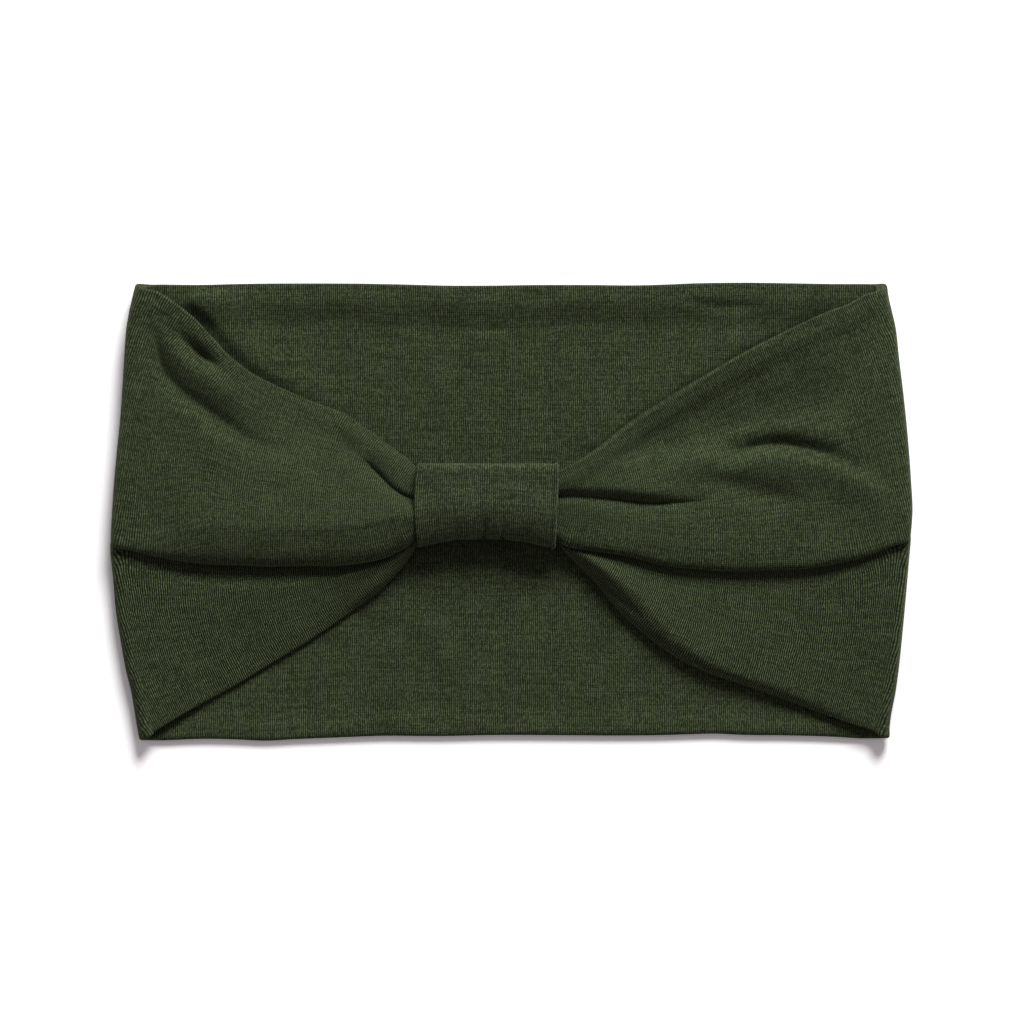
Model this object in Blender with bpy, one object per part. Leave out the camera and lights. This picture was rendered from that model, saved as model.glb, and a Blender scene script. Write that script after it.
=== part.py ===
"""A knotted jersey headband, laid flat.

One strip of fine jersey is folded double lengthwise and closed by a turned seam along its top edge.
The strip makes a loop: a back panel, two side folds and two front halves, which are pleated, gathered
and sewn end to end. A short strip with turned-in edges is wrapped round the join and makes the knot.
Metres, +Z up, +X along the band, the back panel lying on Z = 0.
"""

import math

import bmesh
import bpy
import numpy as np

# Overall sizes of the band lying flat
LOOP_WIDTH = 0.230
BAND_HEIGHT = 0.1315

# The jersey, doubled: two plies with a little air between them
PLY = 0.0005
PLY_GAP = 0.0003
SEAM_ALLOWANCE = 0.008
ALLOWANCE_TAPER = 0.005
THREAD = 0.0003
CLEARANCE = 0.0003

# Side folds: the clear height inside the loop and the stretch of cloth that stays with the fold
LOOP_GAP = 0.0073
FOLD_REACH = 0.015

# The wrapped knot, which sits a little left of the middle
KNOT_CENTRE_X = -0.0072
KNOT_CENTRE_Y = 0.0017
WRAP_LENGTH = 0.0415
WRAP_WIDTH = 0.0244
WRAP_HEIGHT = 0.0135
WRAP_WAIST = 0.0030
WRAP_MOUTH = 0.0012
WRAP_FLAP_GAP = 0.0010
RING_POWER = 3.2
BUNDLE_FILL = 0.86
END_GAP = 0.0010
GATHER_INSET = 0.0069
STITCH_REACH = 0.7

# Pleats of the front halves: layer spacing, and how high the layers stand at the knot
LAYER_PITCH = 0.0029
NECK_RISE = 0.0023
HEM_LIFT = 0.0016
NECK_INSET = 0.0012
NECK_CLEARANCE = 0.0006

# Shares of the way to the knot and of those heights that shape the pleats
NECK_START = 0.55
NECK_HEM_SHARE = 1.6
CROWN_SHARE = 0.3
ROLL_SHARE = 0.55
SHOULDER_SHARE = 0.7
LOW_EDGE_SHARE = 0.6
EVEN_PEAK = 0.5

# Each half's own outline: where the fold bulges most, how far its corners draw in, and how far
# the two edges bow outwards and the pleat sags between the side fold and the knot
LEFT = {
    "name": "left",
    "sign": -1.0,
    "widest_y": -0.0107,
    "top_inset": 0.0078,
    "bottom_inset": 0.0089,
    "top_bow": 0.0005,
    "bottom_bow": 0.0024,
    "bow_peak": 0.50,
    "pleat_sag": 0.0060,
    "edge_lift": 0.0003,
}
RIGHT = {
    "name": "right",
    "sign": 1.0,
    "widest_y": 0.0010,
    "top_inset": 0.0078,
    "bottom_inset": 0.0075,
    "top_bow": 0.0045,
    "bottom_bow": 0.0115,
    "bow_peak": 0.60,
    "pleat_sag": 0.0085,
    "edge_lift": 0.0020,
}

# Stops of a pleated section: shares of the upper flap above the pleat, of the pleat's depth behind it
# and of the lower flap below it. The pleat runs out flat towards the side fold.
LOBE_STOPS = (1.0, 0.86, 0.66, 0.40, 0.16, 0.03, 0.0)
RETURN_STOPS = (0.0, 0.12, 0.60, 1.0, 1.0, 0.60, 0.10)
UNDER_STOPS = (0.40, 0.75, 1.0)
RUN_OUT_SPREAD = 0.25
PLEAT_RUN_OUT = 0.30
COLUMN_CROWDING = 1.25

# Counts of rows and columns in the meshes
FINE_SAMPLES = 241
FRONT_COLUMNS = 10
FRONT_ROWS = 18
FOLD_ARC_STEPS = 7
FOLD_ROWS = 3
BACK_COLUMNS = 4
BACK_ROWS = 2
WRAP_COLUMNS = 5
WRAP_STEPS = 22
LOOP_POINTS = 32
JOIN_STITCHES = 13
WRAP_STITCHES = 15
TURN_ANGLES = (-45.0, 0.0, 45.0)

# Sizes that follow from the ones above
HALF_WIDTH = LOOP_WIDTH / 2
HALF_HEIGHT = BAND_HEIGHT / 2
DOUBLE = 2 * PLY + PLY_GAP
PLY_OFFSET = (PLY + PLY_GAP) / 2
TURN_RADIUS = PLY_OFFSET
ALLOWANCE_OFFSET = (THREAD + PLY) / 2 + CLEARANCE / 2
EDGE_OFFSET = ALLOWANCE_OFFSET + 2 * TURN_RADIUS
EDGE_INSET = TURN_RADIUS + PLY / 2
BACK_LEVEL = DOUBLE / 2
EDGE_LEVEL = EDGE_OFFSET + PLY / 2
FRONT_LEVEL = BACK_LEVEL + DOUBLE + LOOP_GAP
FOLD_RADIUS = (FRONT_LEVEL - BACK_LEVEL) / 2
HINGE_X = HALF_WIDTH - FOLD_REACH
HINGE_LEVEL = FRONT_LEVEL + EDGE_LEVEL
WRAP_LOW = DOUBLE + CLEARANCE
WRAP_CENTRE_Z = WRAP_LOW + WRAP_HEIGHT / 2
WRAP_DOUBLE = 2 * PLY + CLEARANCE
BUNDLE_CLEARANCE = 2 * CLEARANCE + THREAD
BUNDLE_PLY = 2 * PLY
UNDER_LEVEL = DOUBLE + CLEARANCE + DOUBLE / 2

OLIVE = (0.046, 0.056, 0.030)
OLIVE_DEEP = (0.040, 0.049, 0.027)
THREAD_GREEN = (0.034, 0.041, 0.024)
JERSEY_ROUGHNESS = 0.92
THREAD_ROUGHNESS = 0.70


def clear_scene():
    for item in list(bpy.data.objects):
        bpy.data.objects.remove(item, do_unlink=True)


def cloth_material(name, colour, roughness):
    material = bpy.data.materials.new(name)
    material.use_nodes = True
    shader = material.node_tree.nodes["Principled BSDF"]
    shader.inputs["Base Color"].default_value = (*colour, 1.0)
    shader.inputs["Roughness"].default_value = roughness
    shader.inputs["Metallic"].default_value = 0.0
    return material


def pivot(name, place):
    """An empty on a joint's axis, which carries the pieces that move with it."""
    empty = bpy.data.objects.new(name, None)
    empty.location = place
    bpy.context.scene.collection.objects.link(empty)
    return empty


def place_object(item, carrier):
    bpy.context.scene.collection.objects.link(item)
    item.parent = carrier
    return item


def origin_of(carrier):
    return np.array(carrier.location) if carrier else np.zeros(3)


def sheet_object(name, grid, thickness, material, carrier=None):
    """A grid of points made a sheet of cloth, thickened evenly to both sides."""
    rows, columns = grid.shape[:2]
    points = (grid - origin_of(carrier)).reshape(-1, 3)
    shape = bmesh.new()
    corners = [shape.verts.new(point) for point in points]
    for row in range(rows - 1):
        for column in range(columns - 1):
            first = row * columns + column
            below = first + columns
            quad = (first, below, below + 1, first + 1)
            shape.faces.new([corners[index] for index in quad])
    mesh = bpy.data.meshes.new(name)
    shape.to_mesh(mesh)
    shape.free()
    mesh.materials.append(material)
    mesh.shade_smooth()
    item = bpy.data.objects.new(name, mesh)
    solid = item.modifiers.new("Cloth thickness", "SOLIDIFY")
    solid.thickness = thickness
    solid.offset = 0.0
    solid.use_rim = True
    return place_object(item, carrier)


def thread_object(name, points, material, carrier=None, closed=False):
    """A sewing thread: a thin round tube through the points."""
    curve = bpy.data.curves.new(name, "CURVE")
    curve.dimensions = "3D"
    curve.bevel_depth = THREAD / 2
    curve.bevel_resolution = 1
    curve.use_fill_caps = True
    line = curve.splines.new("POLY")
    line.points.add(len(points) - 1)
    for spot, point in zip(line.points, np.asarray(points) - origin_of(carrier)):
        spot.co = (*point, 1.0)
    line.use_cyclic_u = closed
    curve.materials.append(material)
    return place_object(bpy.data.objects.new(name, curve), carrier)


def mix(first, second, share):
    return first + (second - first) * share


def ease(low, high, value):
    share = np.clip((value - low) / (high - low), 0.0, 1.0)
    return share * share * (3.0 - 2.0 * share)


def unit(vectors):
    return vectors / np.linalg.norm(vectors, axis=-1, keepdims=True)


def spline(points, count):
    """A cubic B-spline over the second-last axis of points, starting and ending on the end points."""
    first = points[..., :1, :]
    last = points[..., -1:, :]
    padded = np.concatenate([first, first, points, last, last], axis=-2)
    spans = padded.shape[-2] - 3
    where = np.linspace(0.0, spans, count)
    index = np.minimum(where.astype(int), spans - 1)
    part = (where - index)[:, None]
    weights = (
        (1 - part) ** 3 / 6,
        (3 * part**3 - 6 * part**2 + 4) / 6,
        (-3 * part**3 + 3 * part**2 + 3 * part + 1) / 6,
        part**3 / 6,
    )
    return sum(weight * padded[..., index + step, :] for step, weight in enumerate(weights))


def arc_lengths(lines):
    steps = np.linalg.norm(np.diff(lines, axis=1), axis=2)
    return np.concatenate([np.zeros((len(lines), 1)), np.cumsum(steps, axis=1)], axis=1)


def along(values, lengths, targets):
    """Values read at the target lengths along each line."""
    columns = [
        [np.interp(target, length, value[:, axis]) for axis in range(3)]
        for value, length, target in zip(values, lengths, targets)
    ]
    return np.array(columns).transpose(0, 2, 1)


def cloth_frame(lines, upright):
    """Tangents down each line and outward normals, which stay in the section's plane where it is upright."""
    down = unit(np.gradient(lines, axis=1))
    across = np.array([1.0, 0.0, 0.0]) if upright else np.gradient(lines, axis=0)
    return down, unit(np.cross(down, across))


def doubled_cloth(lines, row_count, upright=False):
    """The folded-double cloth round a middle surface, given as lines from its top to its bottom edge.

    Each section runs from the outer seam allowance over the top edge, down the outer ply, round the
    bottom fold, up the lining and over the top edge again to the lining's allowance.
    """
    lengths = arc_lengths(lines)
    down, normal = cloth_frame(lines, upright)
    total = lengths[:, -1:]
    taper_end = SEAM_ALLOWANCE + ALLOWANCE_TAPER
    allowance = np.array([0.0, SEAM_ALLOWANCE / 2, SEAM_ALLOWANCE])
    shares = np.linspace(0.0, 1.0, lines.shape[1])
    steps = np.linspace(0.0, 1.0, row_count + 2)[1:]
    ply_rows = [np.full(len(lines), spot) for spot in (*allowance, taper_end)]
    for step in steps:
        starts = [np.interp(taper_end, length, shares) for length in lengths]
        spots = [np.interp(mix(start, 1.0, step), shares, length) for start, length in zip(starts, lengths)]
        ply_rows.append(np.array(spots))
    ply_spots = np.stack(ply_rows, axis=1)
    ply_offsets = np.full(ply_spots.shape[1], PLY_OFFSET)
    ply_offsets[: len(allowance)] = EDGE_OFFSET
    allowance_spots = np.tile(allowance[::-1], (len(lines), 1))
    allowance_offsets = np.full(len(allowance), ALLOWANCE_OFFSET)
    angles = np.radians(TURN_ANGLES)
    turn_out = TURN_RADIUS * np.cos(angles)
    top_turn = mix(ALLOWANCE_OFFSET, EDGE_OFFSET, 0.5) + TURN_RADIUS * np.sin(angles)
    bottom_turn = -PLY_OFFSET * np.sin(angles)
    top_spots = np.tile(-turn_out, (len(lines), 1))
    bottom_spots = total + PLY_OFFSET * np.cos(angles)
    spots = np.concatenate(
        [
            allowance_spots,
            top_spots,
            ply_spots,
            bottom_spots,
            ply_spots[:, ::-1],
            top_spots[:, ::-1],
            allowance_spots[:, ::-1],
        ],
        axis=1,
    )
    offsets = np.concatenate(
        [
            allowance_offsets,
            top_turn,
            ply_offsets,
            bottom_turn,
            -ply_offsets[::-1],
            -top_turn[::-1],
            -allowance_offsets,
        ]
    )
    kept = np.clip(spots, 0.0, total)
    beyond = (spots - kept)[..., None]
    place = along(lines, lengths, kept) + unit(along(down, lengths, kept)) * beyond
    return place + unit(along(normal, lengths, kept)) * offsets[None, :, None]


def seam_line(lines):
    """The path of the thread that closes the top edge, between the two allowances."""
    return along(lines, arc_lengths(lines), np.full((len(lines), 1), TURN_RADIUS))[:, 0]


def side_outline(half, heights):
    """How far the side fold's middle surface stands out, at each height up the band."""
    rise = np.where(heights > half["widest_y"], HALF_HEIGHT, -HALF_HEIGHT) - half["widest_y"]
    inset = np.where(heights > half["widest_y"], half["top_inset"], half["bottom_inset"])
    share = (heights - half["widest_y"]) / rise
    return HALF_WIDTH - DOUBLE / 2 - inset * share**2


def wrap_side(half):
    """Where the wrap's edge lies on this half, as a distance along X."""
    return KNOT_CENTRE_X + half["sign"] * WRAP_LENGTH / 2


def bow(share, peak):
    """A hump of height 1 at the peak and 0 at both ends."""
    power = math.log(0.5) / math.log(peak)
    return 4.0 * share**power * (1.0 - share**power)


def edge_heights(half, places):
    """Y of the front half's top edge, pleat and bottom edge at each X."""
    inner = wrap_side(half)
    edge = HALF_HEIGHT - EDGE_INSET
    neck_top = KNOT_CENTRE_Y + WRAP_WIDTH / 2 - NECK_INSET - EDGE_INSET
    neck_low = KNOT_CENTRE_Y - WRAP_WIDTH / 2 + EDGE_INSET
    top_corner = half["sign"] * (HALF_WIDTH - half["top_inset"])
    low_corner = half["sign"] * (HALF_WIDTH - half["bottom_inset"])
    pleat_start = half["sign"] * HALF_WIDTH
    top_share = np.clip((places - top_corner) / (inner - top_corner), 0.0, 1.0)
    low_share = np.clip((places - low_corner) / (inner - low_corner), 0.0, 1.0)
    pleat_share = np.clip((places - pleat_start) / (inner - pleat_start), 0.0, 1.0)
    top = mix(edge, neck_top, top_share) + half["top_bow"] * bow(top_share, EVEN_PEAK)
    low = mix(-edge, neck_low, low_share) - half["bottom_bow"] * bow(low_share, half["bow_peak"])
    pleat = mix(half["widest_y"], neck_low, pleat_share) - half["pleat_sag"] * bow(pleat_share, EVEN_PEAK)
    return top, pleat, low


def front_lines(half, places, progress):
    """Middle surface of a front half: one pleated section at each X, from its top to its bottom edge."""
    top, pleat, low = edge_heights(half, places)
    lobe = top - pleat
    under = pleat - low
    full_height = BAND_HEIGHT - 2 * EDGE_INSET
    spare = (full_height - (top - low)) / 2
    depth = np.minimum(spare, lobe - SEAM_ALLOWANCE - ALLOWANCE_TAPER + DOUBLE / 2)
    depth = np.maximum(depth, DOUBLE)
    out = ease(0.0, PLEAT_RUN_OUT, progress)
    neck = ease(NECK_START, 1.0, progress) * NECK_RISE
    under_level = mix(FRONT_LEVEL, UNDER_LEVEL, out) + neck
    return_level = mix(FRONT_LEVEL, UNDER_LEVEL + LAYER_PITCH, out) + neck
    fold_level = mix(FRONT_LEVEL, UNDER_LEVEL + 2 * LAYER_PITCH, out) + neck
    crest_level = fold_level + CROWN_SHARE * LAYER_PITCH * out
    top_level = mix(FRONT_LEVEL, DOUBLE + EDGE_LEVEL + HEM_LIFT, out) + NECK_HEM_SHARE * neck
    low_level = under_level + half["edge_lift"] * out
    lobe_stops = pleat[:, None] + lobe[:, None] * np.array(LOBE_STOPS)
    turn_stops = pleat[:, None] + depth[:, None] * np.array(RETURN_STOPS)
    under_stops = pleat[:, None] - under[:, None] * np.array(UNDER_STOPS)
    pleated_y = np.concatenate([lobe_stops, turn_stops, under_stops], axis=1)
    lobe_levels = [
        top_level,
        mix(top_level, crest_level, ROLL_SHARE),
        crest_level,
        crest_level,
        mix(fold_level, crest_level, SHOULDER_SHARE),
        fold_level,
        fold_level,
    ]
    turn_levels = [return_level] * 4 + [under_level] * 3
    under_levels = [under_level, mix(under_level, low_level, LOW_EDGE_SHARE), low_level]
    pleated_z = np.stack(lobe_levels + turn_levels + under_levels, axis=1)
    run_out = np.linspace(0.0, RUN_OUT_SPREAD, len(RETURN_STOPS))
    flat_turns = pleat[:, None] - under[:, None] * run_out
    flat_y = np.concatenate([lobe_stops, flat_turns, under_stops], axis=1)
    section_y = mix(flat_y, pleated_y, out[:, None])
    section = np.stack([section_y, pleated_z], axis=-1)
    profile = spline(section, FINE_SAMPLES)
    across = np.broadcast_to(places[:, None, None], (*profile.shape[:2], 1))
    return np.concatenate([across, profile], axis=-1)


def front_panel_lines(half):
    """The front half from its hinge line at the side fold to the edge of the wrap, along +X."""
    start = half["sign"] * HINGE_X - half["sign"] * CLEARANCE / 2
    end = wrap_side(half) + half["sign"] * NECK_CLEARANCE
    progress = np.linspace(0.0, 1.0, FRONT_COLUMNS) ** COLUMN_CROWDING
    lines = front_lines(half, mix(start, end, progress), progress)
    return lines if half["sign"] < 0 else lines[::-1]


def side_fold_lines(half):
    """The cloth round the side of the loop, from the back panel over the fold to the hinge line."""
    shares = np.linspace(0.0, 1.0, FINE_SAMPLES)
    edge = HALF_HEIGHT - EDGE_INSET
    hinge = np.array([half["sign"] * HINGE_X])
    top, _, low = edge_heights(half, hinge)
    back_y = mix(edge, -edge, shares)
    front_y = mix(top[0], low[0], shares)
    reach = side_outline(half, back_y)
    inner = HINGE_X + CLEARANCE / 2
    lines = [np.stack([np.full_like(shares, inner), back_y, back_level(back_y)], axis=-1)]
    for angle in np.linspace(0.0, math.pi, FOLD_ARC_STEPS + 1):
        turned = ease(math.pi / 2, math.pi, angle) * FOLD_RADIUS / FOLD_REACH
        radius = mix((FRONT_LEVEL - back_level(back_y)) / 2, FOLD_RADIUS, ease(0.0, math.pi, angle))
        centre = FRONT_LEVEL - radius
        out = reach - FOLD_RADIUS + FOLD_RADIUS * math.sin(angle)
        level = centre - radius * math.cos(angle)
        lines.append(np.stack([out, mix(back_y, front_y, turned), level], axis=-1))
    lines.append(np.stack([np.full_like(shares, inner), front_y, np.full_like(shares, FRONT_LEVEL)], axis=-1))
    lines = np.stack(lines)
    lines[..., 0] *= half["sign"]
    return lines if half["sign"] < 0 else lines[::-1]


def back_level(heights):
    """Height of the back panel's middle surface: its thicker top hem lies on the floor too."""
    from_edge = HALF_HEIGHT - EDGE_INSET - heights
    share = ease(SEAM_ALLOWANCE + ALLOWANCE_TAPER, SEAM_ALLOWANCE, from_edge)
    return mix(BACK_LEVEL, EDGE_LEVEL, share)


def back_lines():
    """The back panel between the two side folds, along -X."""
    shares = np.linspace(0.0, 1.0, FINE_SAMPLES)
    edge = HALF_HEIGHT - EDGE_INSET
    heights = mix(edge, -edge, shares)
    end = HINGE_X - CLEARANCE / 2
    levels = back_level(heights)
    places = np.linspace(end, -end, BACK_COLUMNS)
    return np.stack([np.stack([np.full_like(shares, place), heights, levels], axis=-1) for place in places])


def ring_point(angle, half_width, half_height, centre_y):
    """A point on the knot's rounded section, with the angle measured from its underside."""
    side = np.sign(np.sin(angle)) * np.abs(np.sin(angle)) ** (2.0 / RING_POWER)
    rise = -np.sign(np.cos(angle)) * np.abs(np.cos(angle)) ** (2.0 / RING_POWER)
    return np.stack([centre_y + half_width * side, WRAP_CENTRE_Z + half_height * rise], axis=-1)


def wrap_grid():
    """The wrap: a strip with both edges turned in, bent round the join, its ends meeting underneath."""
    half_length = WRAP_LENGTH / 2
    turn = (PLY + CLEARANCE) / 2
    face = half_length - turn - PLY / 2
    angles = np.radians(TURN_ANGLES)
    flap = np.array([WRAP_FLAP_GAP / 2 + PLY / 2, face / 2, face])
    across = np.concatenate(
        [
            -flap,
            -face - turn * np.cos(angles),
            np.linspace(-face, face, WRAP_COLUMNS),
            face + turn * np.cos(angles),
            flap[::-1],
        ]
    )
    inward = np.concatenate(
        [
            np.full(len(flap), 2 * turn),
            turn - turn * np.sin(angles),
            np.zeros(WRAP_COLUMNS),
            turn + turn * np.sin(angles),
            np.full(len(flap), 2 * turn),
        ]
    )
    mouth = math.asin(min(1.0, (WRAP_MOUTH / WRAP_WIDTH) ** (RING_POWER / 2)))
    turns = np.linspace(mouth, 2 * math.pi - mouth, WRAP_STEPS)
    rows = []
    for place, depth in zip(across, inward):
        pinch = 1.0 - min(1.0, (place / half_length) ** 2)
        waist = WRAP_WAIST * pinch
        half_width = (WRAP_WIDTH - waist) / 2 - PLY / 2 - depth
        half_height = WRAP_HEIGHT / 2 - PLY / 2 - depth
        section = ring_point(turns, half_width, half_height, KNOT_CENTRE_Y + waist / 2)
        rows.append(np.insert(section, 0, KNOT_CENTRE_X + place, axis=1))
    return np.stack(rows)


def bundle_box():
    """Centre and half sizes of the room for the pleated bundle inside the wrap, in Y and Z."""
    room = WRAP_DOUBLE + BUNDLE_CLEARANCE
    half_width = (WRAP_WIDTH - WRAP_WAIST) / 2 - room
    half_height = WRAP_HEIGHT / 2 - room
    return KNOT_CENTRE_Y + WRAP_WAIST / 2, half_width, half_height


def bundle_profile():
    """The pleated bundle's section: a zigzag of flat layers joined by round turns, in a rounded outline."""
    centre_y, half_width, half_height = bundle_box()
    top_face = half_height * BUNDLE_FILL
    layers = int((2 * top_face - BUNDLE_PLY) / (BUNDLE_PLY + CLEARANCE)) + 1
    levels = np.linspace(BUNDLE_PLY / 2 - top_face, top_face - BUNDLE_PLY / 2, layers)
    pitch = levels[1] - levels[0]
    faces = (np.abs(levels) + BUNDLE_PLY / 2) / half_height
    widths = half_width * (1.0 - faces**RING_POWER) ** (1.0 / RING_POWER) - BUNDLE_PLY / 2
    turns = np.minimum(widths[:-1], widths[1:]) - pitch / 2
    starts = np.concatenate([widths[:1], turns])
    ends = np.concatenate([turns, widths[-1:]])
    points = []
    for layer, level in enumerate(levels):
        side = 1.0 if layer % 2 == 0 else -1.0
        points.append((-side * starts[layer], level))
        points.append((side * (ends[layer] - starts[layer]) / 2, level))
        points.append((side * ends[layer], level))
        if layer < layers - 1:
            for angle in np.radians(TURN_ANGLES):
                swing = pitch / 2 * math.cos(angle)
                rise = pitch / 2 * (1.0 + math.sin(angle))
                points.append((side * (ends[layer] + swing), level + rise))
    return np.array(points) + (centre_y, WRAP_CENTRE_Z)


def bundle_grid(half):
    """One gathered end of the band, from the wrap's edge to the sewn join in the middle."""
    section = bundle_profile()
    outer = wrap_side(half)
    inner = KNOT_CENTRE_X + half["sign"] * END_GAP / 2
    low, high = sorted((outer, inner))
    places = (high, mix(low, high, 0.5), low)
    return np.stack([np.insert(section, 0, place, axis=1) for place in places], axis=1)


def gathering_loop(half):
    """The gathering thread drawn tight round one end of the pleated bundle."""
    centre_y, half_width, half_height = bundle_box()
    room = CLEARANCE + THREAD / 2
    place = wrap_side(half) - half["sign"] * GATHER_INSET
    angles = np.linspace(0.0, 2 * math.pi, LOOP_POINTS, endpoint=False)
    section = ring_point(angles, half_width + room, half_height + room, centre_y)
    return np.insert(section, 0, place, axis=1)


def join_stitches():
    """The seam between the two gathered ends: one thread zigzagging up the gap between them."""
    centre_y, half_width, half_height = bundle_box()
    rise = half_height * BUNDLE_FILL - THREAD
    sides = np.where(np.arange(JOIN_STITCHES) % 2 == 0, -1.0, 1.0)
    place_y = centre_y + sides * half_width * STITCH_REACH
    place_z = WRAP_CENTRE_Z + np.linspace(-rise, rise, JOIN_STITCHES)
    return np.stack([np.full(JOIN_STITCHES, KNOT_CENTRE_X), place_y, place_z], axis=-1)


def wrap_stitches():
    """The seam that closes the wrap underneath, between the two ends of its strip."""
    half_length = WRAP_LENGTH / 2
    places = np.linspace(PLY - half_length, half_length - PLY, WRAP_STITCHES)
    waist = WRAP_WAIST * (1.0 - (places / half_length) ** 2)
    levels = WRAP_LOW + PLY + np.where(np.arange(WRAP_STITCHES) % 2 == 0, 0.0, CLEARANCE)
    return np.stack([KNOT_CENTRE_X + places, KNOT_CENTRE_Y + waist / 2, levels], axis=-1)


def back_seam_points():
    """The top seam's thread round the back of the loop, from one hinge line to the other."""
    parts = [seam_line(side_fold_lines(RIGHT)), seam_line(back_lines()), seam_line(side_fold_lines(LEFT))]
    return np.concatenate(parts)


def build():
    clear_scene()
    jersey = cloth_material("olive_jersey", OLIVE, JERSEY_ROUGHNESS)
    wrap_jersey = cloth_material("olive_wrap_jersey", OLIVE_DEEP, JERSEY_ROUGHNESS)
    thread = cloth_material("olive_thread", THREAD_GREEN, THREAD_ROUGHNESS)

    knot = pivot("loop_opening", (KNOT_CENTRE_X, KNOT_CENTRE_Y, WRAP_LOW))
    sheet_object("back_panel", doubled_cloth(back_lines(), BACK_ROWS), PLY, jersey)
    thread_object("back_top_seam", back_seam_points(), thread)
    for half in (LEFT, RIGHT):
        name = half["name"]
        hinge = pivot(f"front_{name}_hinge", (half["sign"] * HINGE_X, 0.0, HINGE_LEVEL))
        fold = doubled_cloth(side_fold_lines(half), FOLD_ROWS)
        sheet_object(f"{name}_side_fold", fold, PLY, jersey)
        front_middle = front_panel_lines(half)
        front = doubled_cloth(front_middle, FRONT_ROWS, upright=True)
        sheet_object(f"front_{name}_panel", front, PLY, jersey, hinge)
        thread_object(f"front_{name}_top_seam", seam_line(front_middle), thread, hinge)
        sheet_object(f"gathered_end_{name}", bundle_grid(half), BUNDLE_PLY, jersey, knot)
        thread_object(f"gathering_thread_{name}", gathering_loop(half), thread, knot, closed=True)
    thread_object("end_join_seam", join_stitches(), thread, knot)
    sheet_object("knot_wrap", wrap_grid(), PLY, wrap_jersey, knot)
    thread_object("wrap_seam", wrap_stitches(), thread, knot)


build()
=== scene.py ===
import math

import bpy
import numpy as np
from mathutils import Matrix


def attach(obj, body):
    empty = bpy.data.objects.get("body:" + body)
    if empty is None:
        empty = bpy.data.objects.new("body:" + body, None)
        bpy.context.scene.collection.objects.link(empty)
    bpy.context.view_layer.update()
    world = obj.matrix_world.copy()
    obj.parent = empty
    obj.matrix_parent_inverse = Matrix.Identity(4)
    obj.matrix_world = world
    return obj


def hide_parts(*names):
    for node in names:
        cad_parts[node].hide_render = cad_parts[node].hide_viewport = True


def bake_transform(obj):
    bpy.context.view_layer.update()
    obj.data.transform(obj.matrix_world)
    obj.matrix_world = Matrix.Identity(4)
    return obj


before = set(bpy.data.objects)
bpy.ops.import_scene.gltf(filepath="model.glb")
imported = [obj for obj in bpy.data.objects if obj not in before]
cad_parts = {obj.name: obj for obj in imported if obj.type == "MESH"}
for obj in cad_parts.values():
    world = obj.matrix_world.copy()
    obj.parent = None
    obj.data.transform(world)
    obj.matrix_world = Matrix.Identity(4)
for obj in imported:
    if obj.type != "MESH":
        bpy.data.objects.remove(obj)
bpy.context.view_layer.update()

mm = 0.001  # shapes are worked out in millimetres and put into the mesh in metres

# The doubled jersey and the levels that it lies at, as in the CAD frame
clothValues = {
    "halfThick": 0.65,  # half of two plies and the air between them
    "edgeY": 65.1,  # middle surface of the back panel ends here, top and bottom
    "hemHalf": 1.6,  # half thickness over the turned seam along the top edge
    "noseRadius": 0.65,  # each turned ply rounds off with this radius, in these steps
    "noseTurn": (-75.0, -40.0, 0.0, 40.0, 75.0),
    "seamGroove": 0.25,  # depth of the groove between the two turned plies
    "foldTurn": (54.0, 18.0, -18.0, -54.0),  # steps round the bottom fold
    "uvMargin": 0.3,  # the pattern runs on by this over a rounded edge
    "backLevel": 0.65,
    "frontLevel": 9.25,
    "cutX": 100.0,  # the back piece and the side pieces meet here
    "backHem": 3.5,  # flat part of the hem on the back, and the slope down from it
    "backTaper": 9.0,
    "foldPuff": 0.4,  # the bottom fold is soft and stands up by this, over this width
    "foldPuffWide": 8.0,
    "pleatDrop": 2.9,  # at the side fold the layer under the pleat lies this much lower
    "lateTurn": 0.35,  # near its corners the band draws in only after this share of the side fold,
    "lateFrom": (48.0, 62.0),  # more and more from the first height to the second
    "foldCorner": 3.4,  # the side folds turn down late: 2 is round, more is squarer on the upper side
}

# Slow unevenness of lying cloth: wave lengths in millimetres, phases, and how high it stands where
restValues = {
    "crossed": (5.3, 6.1, 1.3),  # length along, length across, phase
    "sway": (0.7, 9.0),  # the waves along bend by this, over this length
    "slanted": (0.8, 9.7, 7.3, 2.1),  # share, lengths, phase
    "fine": (0.5, 3.1, 4.3),
    "flap": 0.17,
    "under": 0.13,
    "back": 0.09,
    "wrap": 0.06,
}
lineSteps = 14  # straight steps between two points of a drawn line


def mix(first, second, share):
    return first + (second - first) * share


# smoothstep: 0 below low, 1 above high, 3t^2 - 2t^3 between
def ease(low, high, value):
    share = np.clip((value - low) / (high - low), 0.0, 1.0)
    return share * share * (3.0 - 2.0 * share)


def unit(vectors):
    return vectors / np.maximum(np.linalg.norm(vectors, axis=-1, keepdims=True), 1e-12)


# cubic through the points, each slope taken from its neighbours, level beyond the ends
def curveThrough(points, at):
    knots, values = np.array(points, float).T
    slopes = np.gradient(values, knots)
    at = np.clip(at, knots[0], knots[-1])
    spot = np.clip(np.searchsorted(knots, at) - 1, 0, len(knots) - 2)
    span = knots[spot + 1] - knots[spot]
    t = (at - knots[spot]) / span
    return (
        (1 + 2 * t) * (1 - t) ** 2 * values[spot]
        + t * (1 - t) ** 2 * span * slopes[spot]
        + t * t * (3 - 2 * t) * values[spot + 1]
        + t * t * (t - 1) * span * slopes[spot + 1]
    )


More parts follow.
